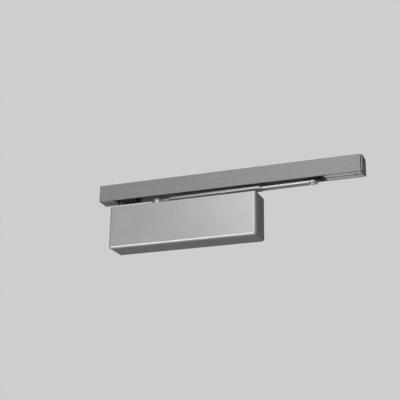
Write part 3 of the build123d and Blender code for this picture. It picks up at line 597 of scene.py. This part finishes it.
def spring_tree():
    """A share of a spring along X from a point: closed turns at both ends, ground flat."""
    sizes = ("Coil Radius", "Wire Radius", "Length", "Turns", "End Turns", "From", "To")
    tree, given = start_tree("compression_spring", sizes)
    along = add(tree, "GeometryNodeSplineParameter")
    done = add(tree, "ShaderNodeMath", {"operation": "MULTIPLY"}, i0=along, i1=given["Turns"])
    pitch = add(
        tree, "ShaderNodeMath", {"operation": "MULTIPLY"}, i0=given["Wire Radius"], i1=CLOSED_PITCH,
    )
    closed = add(tree, "ShaderNodeMath", {"operation": "MULTIPLY"}, i0=pitch, i1=given["End Turns"])
    between = add(
        tree, "ShaderNodeMath", {"operation": "SUBTRACT"}, i0=given["Length"],
        i1=given["Wire Radius"],
    )
    open_run = add(
        tree, "ShaderNodeMath", {"operation": "MULTIPLY_ADD"}, i0=closed, i1=-2.0, i2=between,
    )
    inner = add(
        tree, "ShaderNodeMath", {"operation": "SUBTRACT"}, i0=given["Turns"], i1=given["End Turns"],
    )
    # How far along X the wire has come: slow in the closed turns, fast between them
    stretches = (
        (0.0, given["End Turns"], closed),
        (given["End Turns"], inner, open_run),
        (inner, given["Turns"], closed),
    )
    rise = add(tree, "ShaderNodeMath", {"operation": "DIVIDE"}, i0=given["Wire Radius"], i1=2.0)
    for first, last, climb in stretches:
        climbed = add(
            tree, "ShaderNodeMapRange", None, Value=done, From_Min=first, From_Max=last,
            To_Max=climb,
        )
        rise = add(tree, "ShaderNodeMath", {"operation": "ADD"}, i0=rise, i1=climbed)
    ring = add(
        tree, "GeometryNodeCurveSpiral", None, Resolution=SPRING_STEPS, Rotations=given["Turns"],
        Start_Radius=given["Coil Radius"], End_Radius=given["Coil Radius"], Height=0.0,
    )
    spot = add(tree, "ShaderNodeSeparateXYZ", None, Vector=add(tree, "GeometryNodeInputPosition"))
    wound = add(
        tree, "ShaderNodeCombineXYZ", None, X=rise, Y=spot.outputs["X"], Z=spot.outputs["Y"],
    )
    coil = add(tree, "GeometryNodeSetPosition", None, Geometry=ring, Position=wound)
    # The share of the wire that this piece holds
    kept = add(tree, "GeometryNodeTrimCurve", None, Curve=coil, i2=given["From"], i3=given["To"])
    section = add(
        tree, "GeometryNodeCurvePrimitiveCircle", None, Resolution=SPRING_SIDES,
        Radius=given["Wire Radius"],
    )
    wire = add(
        tree, "GeometryNodeCurveToMesh", None, Curve=kept, Profile_Curve=section, Fill_Caps=True,
    )
    # The ends are ground: nothing stands beyond the spring's length
    level = add(
        tree, "ShaderNodeClamp", None, Value=spot.outputs["X"], Min=0.0, Max=given["Length"],
    )
    flat = add(
        tree, "ShaderNodeCombineXYZ", None, X=level, Y=spot.outputs["Y"], Z=spot.outputs["Z"],
    )
    ground = add(tree, "GeometryNodeSetPosition", None, Geometry=wire, Position=flat)
    spring = add(
        tree, "GeometryNodeInstanceOnPoints", None, Points=given["Geometry"], Instance=ground,
    )
    end_tree(tree, given, spring)
    return tree


def grow(tree, name, mesh, inputs, body, replaced):
    """Runs a tree on a mesh and keeps the result as one plain mesh that rides on a body."""
    maker = bpy.data.objects.new(f"{name}_maker", mesh)
    bpy.context.scene.collection.objects.link(maker)
    modifier = maker.modifiers.new("shape", "NODES")
    modifier.node_group = tree
    for item in tree.interface.items_tree:
        if item.in_out == "INPUT" and item.name in inputs:
            modifier[item.identifier] = inputs[item.name]
    bpy.context.view_layer.update()
    shaped = maker.evaluated_get(bpy.context.evaluated_depsgraph_get())
    piece = bpy.data.objects.new(name, bpy.data.meshes.new_from_object(shaped))
    maker.modifiers.remove(modifier)
    bpy.data.objects.remove(maker)
    piece.data.materials.clear()
    piece.data.materials.append(inputs["Material"])
    bpy.context.scene.collection.objects.link(piece)
    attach(piece, body)
    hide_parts(replaced)
    return piece


def loose_solids(node):
    """The points of each separate solid in a node."""
    joined = bmesh.new()
    joined.from_mesh(node.data)
    bmesh.ops.remove_doubles(joined, verts=joined.verts, dist=SAME_POINT)
    left = dict.fromkeys(joined.verts)
    solids = []
    while left:
        solid = [left.popitem()[0]]
        for vert in solid:
            for edge in vert.link_edges:
                other = edge.other_vert(vert)
                if other in left:
                    del left[other]
                    solid.append(other)
        solids.append([vert.co.copy() for vert in solid])
    joined.free()
    return solids


def measure_screw(points, axis):
    """A screw's top, the way its head faces, its length and its head's radius."""
    low, high = (Vector([pick(p[i] for p in points) for i in range(3)]) for pick in (min, max))
    middle = (low + high) / 2
    line = Vector([float(i == axis) for i in range(3)])
    reach = [(p - middle - line * (p - middle).dot(line)).length for p in points]
    head = [p[axis] for p, r in zip(points, reach) if r > max(reach) * RIM_SHARE]
    aim = line if sum(head) / len(head) > middle[axis] else -line
    length = high[axis] - low[axis]
    return middle + aim * length / 2, aim, length, max(reach)


def make_screws(frame, finishes):
    """Screws with real sockets and threads, where the solid model has them."""
    tree = screw_tree()
    for name, (body, slot, axis, head_height, socket_width, socket_depth) in SCREW_SETS.items():
        measured = [measure_screw(points, axis) for points in loose_solids(frame["nodes"][name])]
        tops, aims, lengths, radii = zip(*measured)
        mesh = bpy.data.meshes.new(f"{name}_points")
        mesh.from_pydata(tops, [], [])
        aim_of = mesh.attributes.new("aim", "FLOAT_VECTOR", "POINT")
        for item, aim in zip(aim_of.data, aims):
            item.vector = aim
        # The screws of a set are alike, so the last one gives their sizes
        inputs = {
            "Head Radius": radii[-1], "Head Height": head_height, "Head Edge": SCREW_EDGE,
            "Socket Width": socket_width, "Socket Depth": socket_depth,
            "Shank Length": lengths[-1] - head_height, "Thread Radius": SCREW_THREAD_RADIUS,
            "Thread Pitch": SCREW_THREAD_PITCH, "Material": finishes[slot],
        }
        grow(tree, f"socket_{name}", mesh, inputs, body, name)


def make_spring(finish):
    """The closing spring, drawn as two halves of one wire, named for the piston and the spring
    plate.
    """
    low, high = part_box("closing_spring")
    length = high.x - low.x
    start = Vector((low.x, (low.y + high.y) / 2, (low.z + high.z) / 2))
    tree = spring_tree()
    for side, (first, last, joint, slide) in SPRING_HALVES.items():
        mesh = bpy.data.meshes.new(f"{side}_half_point")
        mesh.from_pydata([start], [], [])
        inputs = {
            "Coil Radius": (high.z - low.z) / 2 - SPRING_WIRE_RADIUS,
            "Wire Radius": SPRING_WIRE_RADIUS, "Length": length, "Turns": SPRING_TURNS,
            "End Turns": SPRING_END_TURNS, "From": first, "To": last, "Material": finish,
        }
        half = grow(
            tree, f"wound_spring_{side}_half", mesh, inputs, "closer_body",
            "closing_spring",
        )
        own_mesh(half)


def make_camera():
    """The camera at the photograph's viewing angle."""
    azimuth, elevation, roll = (math.radians(v) for v in (VIEW_AZIMUTH, VIEW_ELEVATION, VIEW_ROLL))
    level = Vector((math.cos(azimuth), math.sin(azimuth), 0.0))
    ahead = Vector((-math.sin(azimuth), math.cos(azimuth), 0.0))
    back = Vector((0.0, 0.0, math.sin(elevation))) - ahead * math.cos(elevation)
    upright = back.cross(level)
    right = level * math.cos(roll) + upright * math.sin(roll)
    up = upright * math.cos(roll) - level * math.sin(roll)
    lens = bpy.data.cameras.new("camera")
    lens.sensor_width = SENSOR_WIDTH
    lens.lens = SENSOR_WIDTH * VIEW_FOCAL_PIXELS / FRAME_PIXELS
    lens.clip_end = VIEW_REACH
    camera = bpy.data.objects.new("camera", lens)
    bpy.context.scene.collection.objects.link(camera)
    turn = Matrix((right, up, back)).transposed().to_4x4()
    camera.matrix_world = Matrix.Translation(VIEW_TARGET + back * VIEW_DISTANCE) @ turn
    bpy.context.scene.camera = camera


def make_lamps():
    """Large soft panels, each aimed at the closer."""
    for name, (place, (width, height), watts) in LAMPS.items():
        lamp = bpy.data.lights.new(name, "AREA")
        lamp.shape = "RECTANGLE"
        lamp.size = width
        lamp.size_y = height
        lamp.energy = watts
        holder = bpy.data.objects.new(name, lamp)
        bpy.context.scene.collection.objects.link(holder)
        aim = (LAMP_AIM - Vector(place)).to_track_quat("-Z", "Y")
        holder.matrix_world = Matrix.Translation(place) @ aim.to_matrix().to_4x4()


def seen_directly(tree):
    """One for what the camera sees, also in a reflection or through glass; zero for lighting."""
    ray = add(tree, "ShaderNodeLightPath").outputs
    shown = ray["Is Camera Ray"]
    for kind in ("Is Glossy Ray", "Is Transmission Ray"):
        either = add(tree, "ShaderNodeMath", {"operation": "MAXIMUM"}, i0=shown, i1=ray[kind])
        shown = either.outputs[0]
    return shown


def make_sky():
    """Pale surroundings that the camera and the metal see, with a softer light on the object."""
    world = bpy.data.worlds.new("studio")
    bpy.context.scene.world = world
    world.use_nodes = True
    tree = world.node_tree
    tree.nodes.clear()
    seen = add(tree, "ShaderNodeBackground", None, Color=srgb(SKY_COLOUR), Strength=SKY_SEEN)
    light = add(tree, "ShaderNodeBackground", None, Color=srgb(SKY_COLOUR), Strength=SKY_LIGHT)
    mix = add(tree, "ShaderNodeMixShader", None, i0=seen_directly(tree), i1=light, i2=seen)
    add(tree, "ShaderNodeOutputWorld", None, Surface=mix)


def make_floor():
    """A plain pale floor, well below the closer."""
    half = FLOOR_SIZE / 2
    signs = ((-1, -1), (1, -1), (1, 1), (-1, 1))
    corners = [(sx * half, sy * half, FLOOR_LEVEL) for sx, sy in signs]
    mesh = bpy.data.meshes.new("floor")
    mesh.from_pydata(corners, [], [(0, 1, 2, 3)])
    # Matt floor paint: pale, with broad faint clouds
    material, tree, surface = grained(
        "painted_floor", FLOOR_COLOUR, FLOOR_LIGHT, grain_mm=8.0, cloud_mm=400.0, grain_share=0.1,
        roughness=(0.75, 0.85), depth_mm=0.05,
    )
    glow = add(
        tree, "ShaderNodeMath", {"operation": "MULTIPLY"}, i0=seen_directly(tree), i1=FLOOR_SEEN,
    )
    paint = feed_of(surface.inputs["Base Color"])
    feed_surface(tree, surface, Emission_Color=paint, Emission_Strength=glow.outputs[0])
    mesh.materials.append(material)
    floor = bpy.data.objects.new("floor", mesh)
    bpy.context.scene.collection.objects.link(floor)


bpy.context.scene.view_settings.view_transform = "Standard"
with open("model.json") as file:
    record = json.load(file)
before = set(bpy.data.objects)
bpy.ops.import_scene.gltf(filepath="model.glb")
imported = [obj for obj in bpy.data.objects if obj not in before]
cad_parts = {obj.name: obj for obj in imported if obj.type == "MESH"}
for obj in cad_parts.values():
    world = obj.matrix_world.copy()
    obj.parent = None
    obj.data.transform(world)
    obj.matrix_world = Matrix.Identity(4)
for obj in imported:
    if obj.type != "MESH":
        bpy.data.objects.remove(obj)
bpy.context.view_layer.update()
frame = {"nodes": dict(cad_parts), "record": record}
finishes = make_finishes()
dress_nodes(frame, finishes)
make_screws(frame, finishes)
make_spring(finishes["spring_steel"])
make_camera()
make_lamps()
make_sky()
make_floor()
